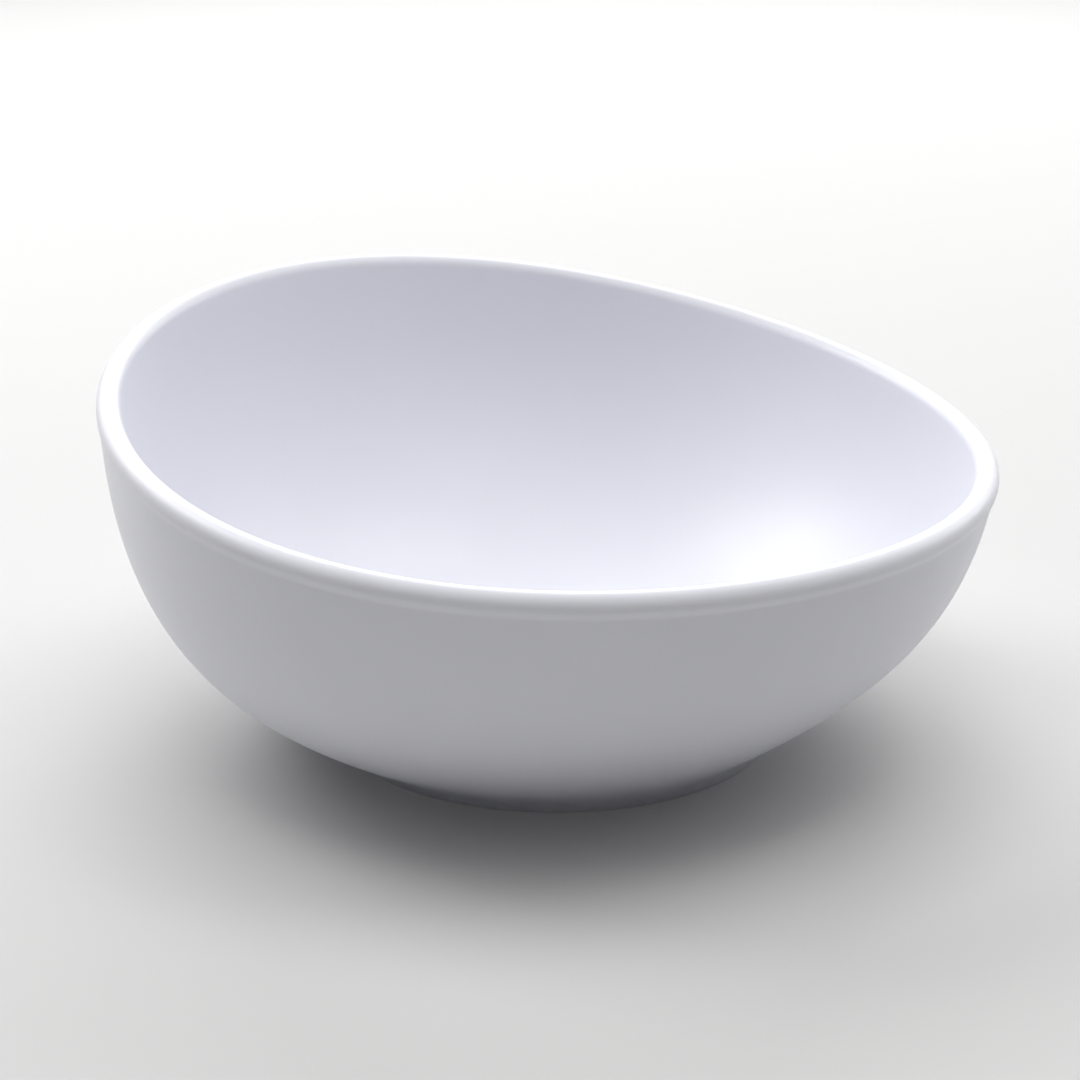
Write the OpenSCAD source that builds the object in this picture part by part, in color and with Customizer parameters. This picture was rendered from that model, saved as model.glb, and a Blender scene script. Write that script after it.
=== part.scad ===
// Serving bowl with a slanted rim, moulded in one piece.
// The origin is on the table under the centre of the rim, +Z is up, the low side of the
// rim faces -Y and the high side faces +Y. All sizes are in millimetres and degrees.

/* [Rim] */
// Outside diameter of the bowl, measured across the lip
bowl_d = 203; // [180:1:250]
// Height of the top of the lip on the low side
rim_low = 67.5; // [55:0.5:80]
// Height of the top of the lip halfway round, on the left and the right
rim_side = 74.5; // [62:0.5:88]
// Height of the top of the lip on the high side
rim_high = 94; // [76:1:112]
// How far the centre of the rim lies from the centre of the foot, towards the high side
rim_shift = 1.8; // [0:0.1:4]

/* [Wall] */
// Thickness of the wall
wall_t = 5; // [3.5:0.1:6]
// Slope of the wall above the foot on the low side, from level
foot_slope_low = 33; // [24:1:40]
// Slope of the wall above the foot on the high side, from level
foot_slope_high = 14; // [8:1:24]
// Slope of the wall under the lip on the low side, from level
rim_slope_low = 77.5; // [66:0.5:84]
// Slope of the wall under the lip on the high side, from level
rim_slope_high = 91; // [80:1:94]

/* [Lip] */
// How far the lip stands out from the wall, on the outside only
lip_proud = 0.5; // [0.3:0.1:0.8]
// Height of the lip's outer band, below the rounded top
lip_band = 2.5; // [1.5:0.1:4]

/* [Foot] */
// Outside diameter of the foot
foot_d = 102; // [88:1:120]
// Width of the ring that the bowl stands on
foot_w = 6; // [4:0.5:10]
// Radius of the rounded bottom edge of the foot
foot_edge_r = 0.8; // [0.4:0.1:1.2]
// Depth of the hollow under the bowl, inside the foot
foot_recess = 2; // [1:0.1:3]
// Thickness of the floor above the hollow
floor_t = 4; // [3:0.1:6]

/* [Hidden] */

bowl_color = [0.93, 0.93, 0.95];

azimuth_steps = 96;
wall_steps = 11;
lip_steps = 7;
floor_steps = 6;

lip_t = wall_t + lip_proud;
lip_r = lip_t / 2;
lip_line_r = bowl_d / 2 - lip_r;
floor_z = foot_recess + floor_t;

// The wall's curve starts a little inside the foot, so that the foot's round side cuts it.
wall_start_in = 2.5;
wall_start = [foot_d / 2 - wall_start_in, 1];
foot_top_z = wall_start[1] + wall_start_in;

// The inside of the wall runs beside the outside down to this step, and the floor starts there.
floor_start_step = 3;

// How far a curve keeps straight at each end, as a share of its reach or of its rise.
wall_foot_pull = 0.81;
wall_rim_pull = 0.42;
floor_wall_pull = 0.20;
floor_centre_pull = 0.62;

// Azimuth az runs from the low side: 0 is the low side and 180 is the high side.
function direction(az) = [sin(az), -cos(az)];
function low_to_high(low, high, az) = low + (high - low) * (1 - cos(az)) / 2;

// Height of the top of the lip: a smooth wave through the low, side and high heights.
function rim_height(az) =
    (rim_low + rim_high + 2 * rim_side) / 4
    + (rim_low - rim_high) / 2 * cos(az)
    + (rim_low + rim_high - 2 * rim_side) / 4 * cos(2 * az);

// Distance from the foot's axis to the lip's centre line, a circle moved to the high side.
function rim_reach(az) =
    sqrt(pow(lip_line_r, 2) - pow(rim_shift * sin(az), 2)) - rim_shift * cos(az);

function foot_slope(az) = low_to_high(foot_slope_low, foot_slope_high, az);
function rim_slope(az) = low_to_high(rim_slope_low, rim_slope_high, az);

// A way is a unit vector, and the side to its left faces the inside of the bowl.
function way_at(slope) = [cos(slope), sin(slope)];
function left_of(way) = [-way[1], way[0]];

// A curve is [start, first pull point, second pull point, end], and s runs from 0 to 1.
function point_on(c, s) =
    pow(1 - s, 3) * c[0]
    + 3 * pow(1 - s, 2) * s * c[1]
    + 3 * (1 - s) * pow(s, 2) * c[2]
    + pow(s, 3) * c[3];
function way_on(c, s) =
    let (
        run = pow(1 - s, 2) * (c[1] - c[0])
            + 2 * (1 - s) * s * (c[2] - c[1])
            + pow(s, 2) * (c[3] - c[2])
    )
    run / norm(run);

// Points are [distance from the foot's axis, height] in the half-plane at azimuth az.
function lip_centre(az) = [rim_reach(az), rim_height(az) - lip_r];

// Curve of the outside of the wall, from inside the foot up to the underside of the lip.
function outer_curve(az) =
    let (
        top_way = way_at(rim_slope(az)),
        end = lip_centre(az) - (wall_t - lip_r) * left_of(top_way) - lip_band * top_way,
        reach = end[0] - wall_start[0],
        rise = end[1] - wall_start[1]
    )
    [
        wall_start,
        wall_start + wall_foot_pull * reach * way_at(foot_slope(az)),
        end - wall_rim_pull * rise * top_way,
        end
    ];

function outer_wall(az) =
    let (curve = outer_curve(az))
    [for (k = [0 : wall_steps]) point_on(curve, k / wall_steps)];

// The lip: the lower edge of its outer band, then over the rounded top to the inside.
function lip(az) =
    let (slope = rim_slope(az), top_way = way_at(slope))
    concat(
        [lip_centre(az) - lip_r * left_of(top_way) - (lip_band - lip_proud) * top_way],
        [
            for (k = [0 : lip_steps])
            lip_centre(az) + lip_r * way_at(slope - 90 + 180 * k / lip_steps)
        ]
    );

// Inside of the wall, one wall thickness from the outside, from the top down to the floor.
function inner_wall(az) =
    let (curve = outer_curve(az))
    [
        for (k = [wall_steps : -1 : floor_start_step])
        let (s = k / wall_steps)
        point_on(curve, s) + wall_t * left_of(way_on(curve, s))
    ];

// The floor, level at its centre, as far as the last point before the centre.
function floor_line(az) =
    let (
        s = floor_start_step / wall_steps,
        way = way_on(outer_curve(az), s),
        start = point_on(outer_curve(az), s) + wall_t * left_of(way),
        curve = [
            start,
            start - floor_wall_pull * start[0] * way,
            [floor_centre_pull * start[0], floor_z],
            [0, floor_z]
        ]
    )
    [for (k = [1 : floor_steps - 1]) point_on(curve, k / floor_steps)];

function section(az) = concat(outer_wall(az), lip(az), inner_wall(az), floor_line(az));

// The bowl above the foot, as one closed skin over sections round the foot's axis.
module shell() {
    step_angle = 360 / azimuth_steps;
    sections = [for (i = [0 : azimuth_steps - 1]) section(i * step_angle)];
    section_size = len(sections[0]);
    section_points = [
        for (i = [0 : azimuth_steps - 1])
        let (out = direction(i * step_angle))
        for (p = sections[i])
        [p[0] * out[0], p[0] * out[1], p[1]]
    ];
    floor_centre = len(section_points);
    function at(i, j) = (i % azimuth_steps) * section_size + j;
    underside = [for (i = [0 : azimuth_steps - 1]) at(i, 0)];
    skin = [
        for (i = [0 : azimuth_steps - 1])
        for (j = [0 : section_size - 2])
        each [
            [at(i, j), at(i, j + 1), at(i + 1, j + 1)],
            [at(i, j), at(i + 1, j + 1), at(i + 1, j)]
        ]
    ];
    floor_fan = [
        for (i = [0 : azimuth_steps - 1])
        [at(i, section_size - 1), floor_centre, at(i + 1, section_size - 1)]
    ];
    polyhedron(
        points = concat(section_points, [[0, 0, floor_z]]),
        faces = concat([underside], skin, floor_fan)
    );
}

// The round foot, as a disc with a rounded bottom edge.
module foot_disc() {
    flat_r = foot_d / 2 - foot_edge_r;
    rotate_extrude($fn = azimuth_steps)
    union() {
        square([flat_r, foot_top_z]);
        translate([0, foot_edge_r])
        square([foot_d / 2, foot_top_z - foot_edge_r]);
        translate([flat_r, foot_edge_r])
        intersection() {
            circle(r = foot_edge_r, $fn = 48);
            translate([0, -foot_edge_r])
            square(foot_edge_r);
        }
    }
}

// The hollow under the bowl, which leaves the foot as a ring.
module foot_hollow() {
    below = 1;
    translate([0, 0, -below])
    cylinder(r = foot_d / 2 - foot_w, h = foot_recess + below, $fn = azimuth_steps);
}

// The shell and the foot are drawn round the foot's axis, then moved to centre the rim.
module bowl() {
    color(bowl_color)
    translate([0, -rim_shift, 0])
    difference() {
        union() {
            shell();
            foot_disc();
        }
        foot_hollow();
    }
}

bowl();
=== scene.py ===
import math

import bpy
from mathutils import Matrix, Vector


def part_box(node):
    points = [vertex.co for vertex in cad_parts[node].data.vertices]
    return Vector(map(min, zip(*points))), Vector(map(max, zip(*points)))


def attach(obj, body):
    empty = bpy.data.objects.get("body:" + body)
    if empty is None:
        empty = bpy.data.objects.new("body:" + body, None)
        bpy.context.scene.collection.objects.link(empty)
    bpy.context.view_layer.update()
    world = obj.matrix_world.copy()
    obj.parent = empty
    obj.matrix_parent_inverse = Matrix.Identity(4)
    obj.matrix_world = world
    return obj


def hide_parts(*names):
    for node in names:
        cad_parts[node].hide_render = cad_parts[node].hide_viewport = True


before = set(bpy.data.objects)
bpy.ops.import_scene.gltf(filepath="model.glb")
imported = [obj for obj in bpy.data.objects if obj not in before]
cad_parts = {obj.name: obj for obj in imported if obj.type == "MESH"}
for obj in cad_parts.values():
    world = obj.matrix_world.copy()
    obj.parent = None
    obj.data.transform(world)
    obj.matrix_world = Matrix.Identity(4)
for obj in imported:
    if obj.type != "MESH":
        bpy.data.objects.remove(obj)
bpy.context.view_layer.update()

MM = 0.001

# ---- Sizes of the bowl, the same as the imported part's ----
BOWL_D = 203 * MM
RIM_LOW = 67.5 * MM
RIM_SIDE = 74.5 * MM
RIM_HIGH = 94 * MM
RIM_SHIFT = 1.8 * MM  # from the foot's axis to the centre of the rim, towards the high side
WALL_T = 5 * MM
FOOT_SLOPE_LOW = 33
FOOT_SLOPE_HIGH = 14
RIM_SLOPE_LOW = 77.5
RIM_SLOPE_HIGH = 91
LIP_PROUD = 0.5 * MM
LIP_BAND = 2.5 * MM
FOOT_D = 102 * MM
FOOT_W = 6 * MM
FOOT_EDGE_R = 0.8 * MM
FOOT_RECESS = 2 * MM
FLOOR_Z = 6 * MM
WALL_START = Vector((FOOT_D / 2 - 2.5 * MM, 1 * MM))  # where the wall's curve starts, in the foot
WALL_FOOT_PULL = 0.81
WALL_RIM_PULL = 0.42
FLOOR_WALL_PULL = 0.20
FLOOR_CENTRE_PULL = 0.62
FLOOR_START = 3 / 11  # where along the wall's curve the inside turns into the floor

LIP_R = (WALL_T + LIP_PROUD) / 2
LIP_LINE_R = BOWL_D / 2 - LIP_R

# ---- Small roundings that a moulding has ----
HOLLOW_EDGE_R = 0.6 * MM
FOOT_FILLET = 2.4 * MM  # how far the rounding between foot and wall runs up the wall
FOOT_SIDE_LEAST = 1.1 * FOOT_EDGE_R  # the foot's side reaches at least this high
BAND_STEP = 2.3 * MM  # height over which the wall swells into the lip's band

# ---- How finely the mesh is cut ----
AZIMUTH_STEPS = 288
HOLLOW_STEPS = 8
ROUND_STEPS = 5
WALL_STEPS = 44
BAND_STEPS = 9
LIP_STEPS = 18
INNER_STEPS = 40
FLOOR_STEPS = 26
HALVINGS = 40  # of the stretch in which the wall leaves the foot
LENGTH_STEPS = 20  # chords that measure the length of the wall's curve

WHITE = (1, 1, 1)
BLACK = (0, 0, 0)

# ---- Melamine: scales are features to the metre ----
MELAMINE_IOR = 1.55
BOWL_COLOR = (0.85, 0.856, 0.914)
BOWL_COLOR_DEEP = (0.836, 0.842, 0.902)
CLOUD_SCALE = 22
CLOUD_LOW, CLOUD_HIGH = 0.3, 0.7  # noise values that give the deep and the plain colour
SPECK_COLOR = (0.5, 0.5, 0.52)
SPECK_SCALE = 55  # one possible speck in each cell
SPECK_CORE, SPECK_EDGE = 0.010, 0.022  # distances from a cell's centre, in cells
SPECK_CHANCE = 0.6  # a cell has a speck if its random value is above this
ROUGHNESS_LOW, ROUGHNESS_HIGH = 0.36, 0.44
MARKS_LOW, MARKS_HIGH = 0.12, 0.42  # smudges times scratches that give those two
SMUDGE_SCALE = 60
SCRATCH_SCALE = 160
SCRATCH_STRETCH = 14  # how much closer together the scratches are across than along
SCRATCH_TURN = (0.3, 0.2, 0.9)  # radians, to keep them off the bowl's own axes
SCRATCH_DEPTH = 0.03 * MM
SCRATCH_STRENGTH = 0.04
PEEL_SCALE = 900
PEEL_DEPTH = 0.05 * MM
PEEL_STRENGTH = 0.06

# Places of the colour sockets on Blender's Mix node, whose number sockets have the same names.
MIX_COLOR_A = 6
MIX_COLOR_B = 7
MIX_COLOR_RESULT = 2

# ---- Stage ----
FLOOR_COLOR = (0.604, 0.602, 0.6)
FLOOR_ROUGHNESS = 0.8
FLOOR_SPECULAR = 0.2
FLOOR_GLOW = 0.02
FLOOR_RINGS = 12
STAGE_R = 2.6
STAGE_STEPS = 96
BACKDROP_H = 4
BACKDROP_SWEEP = 0.2 * STAGE_R  # radius of the curve between the floor and the backdrop
BACKDROP_SWEEP_STEPS = 8
BACKDROP_FOOT_GLOW = 0.32
BACKDROP_GLOW = 0.85
BACKDROP_GLOW_H = 0.9  # height at which the glow is full

# ---- Camera ----
CAMERA_AZIMUTH = -42.2
CAMERA_ELEVATION = 18.7
CAMERA_DISTANCE = 599 * MM
CAMERA_AIM = Vector((6.8 * MM, 10.7 * MM, 40.9 * MM))
LENS_MM = 84.4
SENSOR_MM = 36


# ---- Shape of the bowl, section by section round the foot's axis ----
def low_to_high(low, high, az):
    """A value that goes from low to high as azimuth az goes from the low side to the high."""
    return low + (high - low) * (1 - math.cos(az)) / 2


def rim_height(az):
    """Height of the top of the lip."""
    mean = (RIM_LOW + RIM_HIGH + 2 * RIM_SIDE) / 4
    slant = (RIM_LOW - RIM_HIGH) / 2
    dip = (RIM_LOW + RIM_HIGH - 2 * RIM_SIDE) / 4
    return mean + slant * math.cos(az) + dip * math.cos(2 * az)


def rim_reach(az):
    """Distance from the foot's axis to the lip's centre line."""
    across = RIM_SHIFT * math.sin(az)
    return math.sqrt(LIP_LINE_R ** 2 - across ** 2) - RIM_SHIFT * math.cos(az)


def lip_centre(az):
    """Centre of the lip's round top, in a section."""
    return Vector((rim_reach(az), rim_height(az) - LIP_R))


def way_at(slope):
    """Unit vector in a section, at a slope in degrees above the outward direction."""
    return Vector((math.cos(math.radians(slope)), math.sin(math.radians(slope))))


def left_of(way):
    """The side of a way up the wall that faces the inside of the bowl."""
    return Vector((-way.y, way.x))


def point_on(curve, s):
    """Point on a curve with four control points, at s from 0 to 1."""
    a, b, c, d = curve
    return (1 - s) ** 3 * a + 3 * (1 - s) ** 2 * s * b + 3 * (1 - s) * s ** 2 * c + s ** 3 * d


def way_on(curve, s):
    """Unit vector along the same curve."""
    a, b, c, d = curve
    run = (1 - s) ** 2 * (b - a) + 2 * (1 - s) * s * (c - b) + s ** 2 * (d - c)
    return run.normalized()


def rounded(before, corner, after, steps):
    """Points of a soft corner between two points, both left out."""
    points = []
    for k in range(1, steps):
        s = k / steps
        points.append((1 - s) ** 2 * before + 2 * (1 - s) * s * corner + s ** 2 * after)
    return points


def outer_curve(az):
    """Curve of the outside of the wall, from inside the foot to the underside of the lip."""
    top_way = way_at(low_to_high(RIM_SLOPE_LOW, RIM_SLOPE_HIGH, az))
    foot_way = way_at(low_to_high(FOOT_SLOPE_LOW, FOOT_SLOPE_HIGH, az))
    end = lip_centre(az) - (WALL_T - LIP_R) * left_of(top_way) - LIP_BAND * top_way
    span = end - WALL_START
    return [
        WALL_START,
        WALL_START + WALL_FOOT_PULL * span.x * foot_way,
        end - WALL_RIM_PULL * span.y * top_way,
        end,
    ]


def where_wall_leaves_foot(curve):
    """How far along its curve, always in the first half, the wall passes the foot's side."""
    near, far = 0.0, 0.5
    for _ in range(HALVINGS):
        middle = (near + far) / 2
        if point_on(curve, middle).x < FOOT_D / 2:
            near = middle
        else:
            far = middle
    return near


def hollow_and_foot(curve, leaves):
    """From the centre of the hollow under the bowl, round the foot, up to the wall."""
    inner_r = FOOT_D / 2 - FOOT_W
    outer_r = FOOT_D / 2
    top_corner = Vector((inner_r, FOOT_RECESS))
    inner_corner = Vector((inner_r, 0))
    outer_corner = Vector((outer_r, 0))
    wall_corner = point_on(curve, leaves)
    across = Vector((HOLLOW_EDGE_R, 0))
    up = Vector((0, HOLLOW_EDGE_R))
    points = [Vector((inner_r * k / HOLLOW_STEPS, FOOT_RECESS)) for k in range(1, HOLLOW_STEPS)]
    points.append(top_corner - across)
    points += rounded(top_corner - across, top_corner, top_corner - up, ROUND_STEPS)
    points += [top_corner - up, inner_corner + up]
    points += rounded(inner_corner + up, inner_corner, inner_corner + across, ROUND_STEPS)
    points.append(inner_corner + across)
    for k in range(ROUND_STEPS + 1):
        turn = way_at(-90 + 90 * k / ROUND_STEPS)
        points.append(outer_corner + Vector((-FOOT_EDGE_R, FOOT_EDGE_R)) + FOOT_EDGE_R * turn)
    side_top = Vector((outer_r, max(FOOT_SIDE_LEAST, wall_corner.y - FOOT_FILLET)))
    wall_start = wall_corner + FOOT_FILLET * way_on(curve, leaves)
    points.append(side_top)
    points += rounded(side_top, wall_corner, wall_start, ROUND_STEPS)
    return points


def outer_wall(curve, leaves):
    """The outside of the wall, from the foot's rounding to just below the band."""
    knots = [point_on(curve, k / LENGTH_STEPS) for k in range(LENGTH_STEPS + 1)]
    length = sum((after - before).length for before, after in zip(knots, knots[1:]))
    first = leaves + FOOT_FILLET / length
    return [point_on(curve, first + (1 - first) * k / WALL_STEPS) for k in range(WALL_STEPS)]


def lip(curve, az):
    """The swelling below the band, the band, and the round top, ending on the inside."""
    slope = low_to_high(RIM_SLOPE_LOW, RIM_SLOPE_HIGH, az)
    way = way_at(slope)
    points = []
    for k in range(BAND_STEPS + 1):
        s = k / BAND_STEPS
        swell = LIP_PROUD * s * s * (3 - 2 * s)
        points.append(curve[3] + BAND_STEP * s * way - swell * left_of(way))
    for k in range(LIP_STEPS + 1):
        points.append(lip_centre(az) + LIP_R * way_at(slope - 90 + 180 * k / LIP_STEPS))
    return points


def inside(curve):
    """The inside, one wall thickness from the outside, then the floor up to its centre."""
    points = []
    for k in range(INNER_STEPS + 1):
        s = 1 - (1 - FLOOR_START) * k / INNER_STEPS
        points.append(point_on(curve, s) + WALL_T * left_of(way_on(curve, s)))
    start = points[-1]
    floor_curve = [
        start,
        start - FLOOR_WALL_PULL * start.x * way_on(curve, FLOOR_START),
        Vector((FLOOR_CENTRE_PULL * start.x, FLOOR_Z)),
        Vector((0, FLOOR_Z)),
    ]
    points += [point_on(floor_curve, k / FLOOR_STEPS) for k in range(1, FLOOR_STEPS)]
    return points


def section(az):
    """Outline of the bowl at one azimuth, from under its centre round to the floor's centre."""
    curve = outer_curve(az)
    leaves = where_wall_leaves_foot(curve)
    return (
        hollow_and_foot(curve, leaves)
        + outer_wall(curve, leaves)
        + lip(curve, az)
        + inside(curve)
    )


def new_piece(name, points, faces):
    """A smooth-shaded mesh object in the scene."""
    mesh = bpy.data.meshes.new(name)
    mesh.from_pydata(points, [], faces)
    mesh.validate()
    mesh.shade_smooth()
    piece = bpy.data.objects.new(name, mesh)
    bpy.context.scene.collection.objects.link(piece)
    return piece


def make_bowl():
    """One closed smooth skin over sections round the foot's axis."""
    points = []
    for i in range(AZIMUTH_STEPS):
        az = math.tau * i / AZIMUTH_STEPS
        out = Vector((math.sin(az), -math.cos(az)))
        ring = section(az)
        points += [(p.x * out.x, p.x * out.y - RIM_SHIFT, p.y) for p in ring]
    size = len(ring)
    hollow_centre = len(points)
    floor_centre = hollow_centre + 1
    points += [(0, -RIM_SHIFT, FOOT_RECESS), (0, -RIM_SHIFT, FLOOR_Z)]
    faces = []
    for i in range(AZIMUTH_STEPS):
        here = i * size
        there = (i + 1) % AZIMUTH_STEPS * size
        faces.append((hollow_centre, there, here))
        for j in range(size - 1):
            faces.append((here + j, there + j, there + j + 1, here + j + 1))
        faces.append((floor_centre, here + size - 1, there + size - 1))
    return new_piece("bowl_moulding", points, faces)


# ---- Materials ----
def new_material(name):
    """A material with one Principled shader, and that shader."""
    material = bpy.data.materials.new(name)
    material.use_nodes = True
    nodes = material.node_tree.nodes
    nodes.clear()
    output = nodes.new("ShaderNodeOutputMaterial")
    shader = nodes.new("ShaderNodeBsdfPrincipled")
    material.node_tree.links.new(shader.outputs["BSDF"], output.inputs["Surface"])
    return material, shader


def melamine():
    """Satin white melamine: soft gloss, faint clouding, and fine marks from washing and use."""
    material, shader = new_material("white_melamine")
    nodes = material.node_tree.nodes
    link = material.node_tree.links.new
    shader.inputs["IOR"].default_value = MELAMINE_IOR

    place = nodes.new("ShaderNodeTexCoord").outputs["Object"]

    def noise(where, scale, detail, roughness=0.5):
        node = nodes.new("ShaderNodeTexNoise")
        node.inputs["Scale"].default_value = scale
        node.inputs["Detail"].default_value = detail
        node.inputs["Roughness"].default_value = roughness
        link(where, node.inputs["Vector"])
        return node.outputs["Fac"]

    def ramp(value, *stops):
        node = nodes.new("ShaderNodeValToRGB")
        steps = node.color_ramp.elements
        for step, (where, colour) in zip(steps, stops):
            step.position = where
            step.color = (*colour, 1)
        link(value, node.inputs["Fac"])
        return node.outputs["Color"]

    def math_node(operation, first):
        node = nodes.new("ShaderNodeMath")
        node.operation = operation
        link(first, node.inputs[0])
        return node

    def bump(height, strength, distance):
        node = nodes.new("ShaderNodeBump")
        node.inputs["Strength"].default_value = strength
        node.inputs["Distance"].default_value = distance
        link(height, node.inputs["Height"])
        return node

    # Faint clouding a few centimetres across, as in pressed melamine powder.
    clouding = noise(place, CLOUD_SCALE, detail=3)
    colour = ramp(clouding, (CLOUD_LOW, BOWL_COLOR_DEEP), (CLOUD_HIGH, BOWL_COLOR))

    # A few faint specks, under a millimetre across, moulded into the surface.
    cells = nodes.new("ShaderNodeTexVoronoi")
    cells.inputs["Scale"].default_value = SPECK_SCALE
    link(place, cells.inputs["Vector"])
    speck = ramp(cells.outputs["Distance"], (SPECK_CORE, WHITE), (SPECK_EDGE, BLACK))
    chance = math_node("GREATER_THAN", cells.outputs["Color"])
    chance.inputs[1].default_value = SPECK_CHANCE
    strength = math_node("MULTIPLY", speck)
    link(chance.outputs["Value"], strength.inputs[1])
    mix = nodes.new("ShaderNodeMix")
    mix.data_type = "RGBA"
    link(strength.outputs["Value"], mix.inputs["Factor"])
    link(colour, mix.inputs[MIX_COLOR_A])
    mix.inputs[MIX_COLOR_B].default_value = (*SPECK_COLOR, 1)
    link(mix.outputs[MIX_COLOR_RESULT], shader.inputs["Base Color"])

    # Gloss that varies a little, with fine scratches that scatter it more.
    stretched = nodes.new("ShaderNodeMapping")
    stretched.inputs["Rotation"].default_value = SCRATCH_TURN
    stretched.inputs["Scale"].default_value = (1, SCRATCH_STRETCH, 1)
    link(place, stretched.inputs["Vector"])
    scratches = noise(stretched.outputs["Vector"], SCRATCH_SCALE, detail=4)
    marks = math_node("MULTIPLY", noise(place, SMUDGE_SCALE, detail=5, roughness=0.6))
    link(scratches, marks.inputs[1])
    gloss = nodes.new("ShaderNodeMapRange")
    gloss.inputs["From Min"].default_value = MARKS_LOW
    gloss.inputs["From Max"].default_value = MARKS_HIGH
    gloss.inputs["To Min"].default_value = ROUGHNESS_LOW
    gloss.inputs["To Max"].default_value = ROUGHNESS_HIGH
    link(marks.outputs["Value"], gloss.inputs["Value"])
    link(gloss.outputs["Result"], shader.inputs["Roughness"])

    # A trace of orange peel under the scratches.
    peel = bump(noise(place, PEEL_SCALE, detail=2), PEEL_STRENGTH, PEEL_DEPTH)
    scratched = bump(scratches, SCRATCH_STRENGTH, SCRATCH_DEPTH)
    link(peel.outputs["Normal"], scratched.inputs["Normal"])
    link(scratched.outputs["Normal"], shader.inputs["Normal"])
    return material


def floor_material():
    """Pale grey and nearly matt, with a trace of glow that lifts the shadow."""
    material, shader = new_material("pale_floor")
    shader.inputs["Base Color"].default_value = (*FLOOR_COLOR, 1)
    shader.inputs["Roughness"].default_value = FLOOR_ROUGHNESS
    shader.inputs["Specular IOR Level"].default_value = FLOOR_SPECULAR
    shader.inputs["Emission Color"].default_value = (*WHITE, 1)
    shader.inputs["Emission Strength"].default_value = FLOOR_GLOW
    return material


def backdrop_material():
    """A glow with no reflection of its own, dimmer near the floor."""
    material, shader = new_material("pale_backdrop")
    shader.inputs["Base Color"].default_value = (*BLACK, 1)
    shader.inputs["Specular IOR Level"].default_value = 0
    shader.inputs["Emission Color"].default_value = (*WHITE, 1)
    nodes = material.node_tree.nodes
    link = material.node_tree.links.new
    place = nodes.new("ShaderNodeTexCoord")
    parts = nodes.new("ShaderNodeSeparateXYZ")
    glow = nodes.new("ShaderNodeMapRange")
    glow.interpolation_type = "SMOOTHSTEP"
    glow.inputs["From Max"].default_value = BACKDROP_GLOW_H
    glow.inputs["To Min"].default_value = BACKDROP_FOOT_GLOW
    glow.inputs["To Max"].default_value = BACKDROP_GLOW
    link(place.outputs["Object"], parts.inputs["Vector"])
    link(parts.outputs["Z"], glow.inputs["Value"])
    link(glow.outputs["Result"], shader.inputs["Emission Strength"])
    return material


# ---- Studio ----
def towards(azimuth, elevation):
    """Unit vector to something seen from the bowl; azimuth 0 is -Y and 90 is +X."""
    a = math.radians(azimuth)
    e = math.radians(elevation)
    return Vector((math.sin(a) * math.cos(e), -math.cos(a) * math.cos(e), math.sin(e)))


def place_facing(thing, back, distance, aim):
    """Puts a camera or lamp at a distance from its aim, looking back at it."""
    thing.location = aim + distance * back
    thing.rotation_mode = "QUATERNION"
    thing.rotation_quaternion = back.to_track_quat("Z", "Y")
    bpy.context.scene.collection.objects.link(thing)


def round_sheet(name, profile, material):
    """A stage piece swept round the Z axis from a profile of (radius, height) points."""
    points = []
    for k in range(STAGE_STEPS):
        turn = math.tau * k / STAGE_STEPS
        points += [(r * math.sin(turn), r * math.cos(turn), z) for r, z in profile]
    size = len(profile)
    faces = []
    for k in range(STAGE_STEPS):
        here = k * size
        there = (k + 1) % STAGE_STEPS * size
        for j in range(size - 1):
            faces.append((here + j, here + j + 1, there + j + 1, there + j))
    piece = new_piece(name, points, faces)
    piece.data.materials.append(material)
    return piece


def make_floor():
    rings = [STAGE_R * (k / FLOOR_RINGS) ** 2 for k in range(FLOOR_RINGS + 1)]
    round_sheet("floor", [(r, 0) for r in rings], floor_material())


def make_backdrop():
    """A pale wall round the floor, seen by the camera and in reflections; it lights nothing else."""
    profile = []
    for k in range(BACKDROP_SWEEP_STEPS + 1):
        turn = math.radians(90 * k / BACKDROP_SWEEP_STEPS)
        out = BACKDROP_SWEEP * math.sin(turn)
        up = BACKDROP_SWEEP * (1 - math.cos(turn))
        profile.append((STAGE_R + out, up))
    profile.append((STAGE_R + BACKDROP_SWEEP, BACKDROP_H))
    backdrop = round_sheet("backdrop", profile, backdrop_material())
    backdrop.visible_diffuse = False
    backdrop.visible_shadow = False


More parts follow.
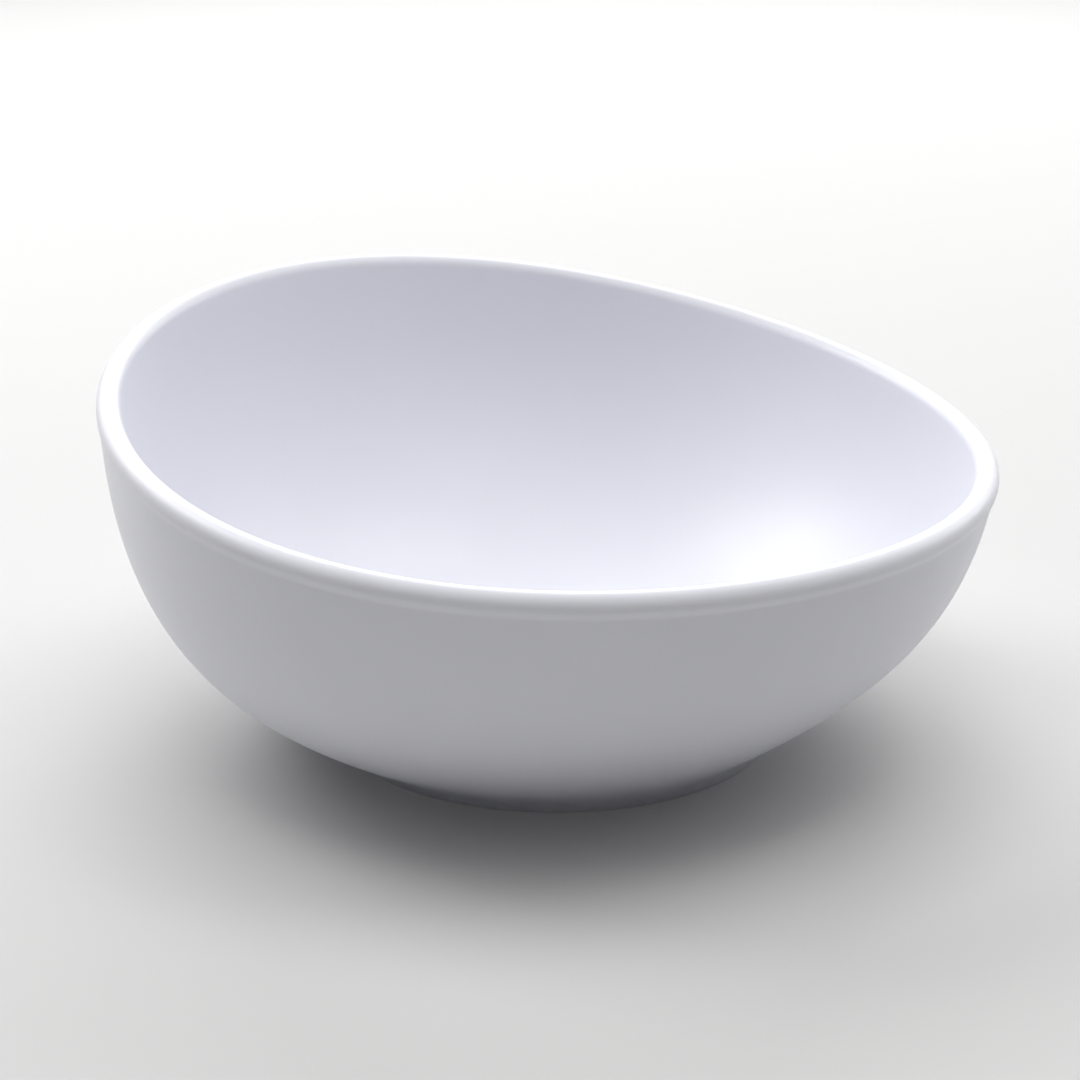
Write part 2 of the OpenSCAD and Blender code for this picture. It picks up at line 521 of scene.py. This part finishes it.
def softbox(name, azimuth, elevation, distance, width, height, power, glossy=True):
    """A soft lamp aimed at the bowl's centre.

    Its azimuth is counted from the camera's side of the bowl, and its power is in watts. A
    lamp that isn't glossy leaves no highlight.
    """
    light = bpy.data.lights.new(name, "AREA")
    light.shape = "RECTANGLE"
    light.size = width
    light.size_y = height
    light.energy = power
    lamp = bpy.data.objects.new(name, light)
    lamp.visible_glossy = glossy
    place_facing(lamp, towards(CAMERA_AZIMUTH + azimuth, elevation), distance, bowl_centre)


def make_lights():
    """Lamps beside and behind the bowl, which make its highlights, and two fills."""
    softbox("light_right", 98, 59, distance=1.2, width=0.6, height=0.6, power=2.5)
    softbox("light_left", -115, 44, distance=1.2, width=0.6, height=0.6, power=5.2)
    softbox("light_low_left", -125, 22, distance=1.6, width=1.0, height=0.8, power=2.0)
    softbox("light_low_right", 125, 22, distance=1.6, width=1.0, height=0.8, power=4.4)
    softbox("light_behind", 180, 30, distance=1.8, width=1.6, height=0.9, power=18)
    softbox("fill_front", 0, 65, distance=1.6, width=1.4, height=0.8, power=3.2, glossy=False)
    softbox("fill_overhead", 0, 90, distance=5.0, width=4.0, height=4.0, power=156, glossy=False)


def make_dark_world():
    """A world that gives no light."""
    world = bpy.data.worlds.new("studio")
    world.use_nodes = True
    world.node_tree.nodes["Background"].inputs["Strength"].default_value = 0
    bpy.context.scene.world = world


def make_camera():
    data = bpy.data.cameras.new("camera")
    data.sensor_width = SENSOR_MM
    data.lens = LENS_MM
    data.clip_start = 0.01
    data.clip_end = 100
    camera = bpy.data.objects.new("camera", data)
    back = towards(CAMERA_AZIMUTH, CAMERA_ELEVATION)
    place_facing(camera, back, CAMERA_DISTANCE, CAMERA_AIM)
    bpy.context.scene.camera = camera


bowl = make_bowl()
bowl.data.materials.append(melamine())
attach(bowl, "root")
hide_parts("bowl")

box_low, box_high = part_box("bowl")
bowl_centre = (box_low + box_high) / 2

make_floor()
make_backdrop()
make_camera()
make_lights()
make_dark_world()

view = bpy.context.scene.view_settings
view.view_transform = "Standard"
view.look = "None"
view.exposure = 0
view.gamma = 1
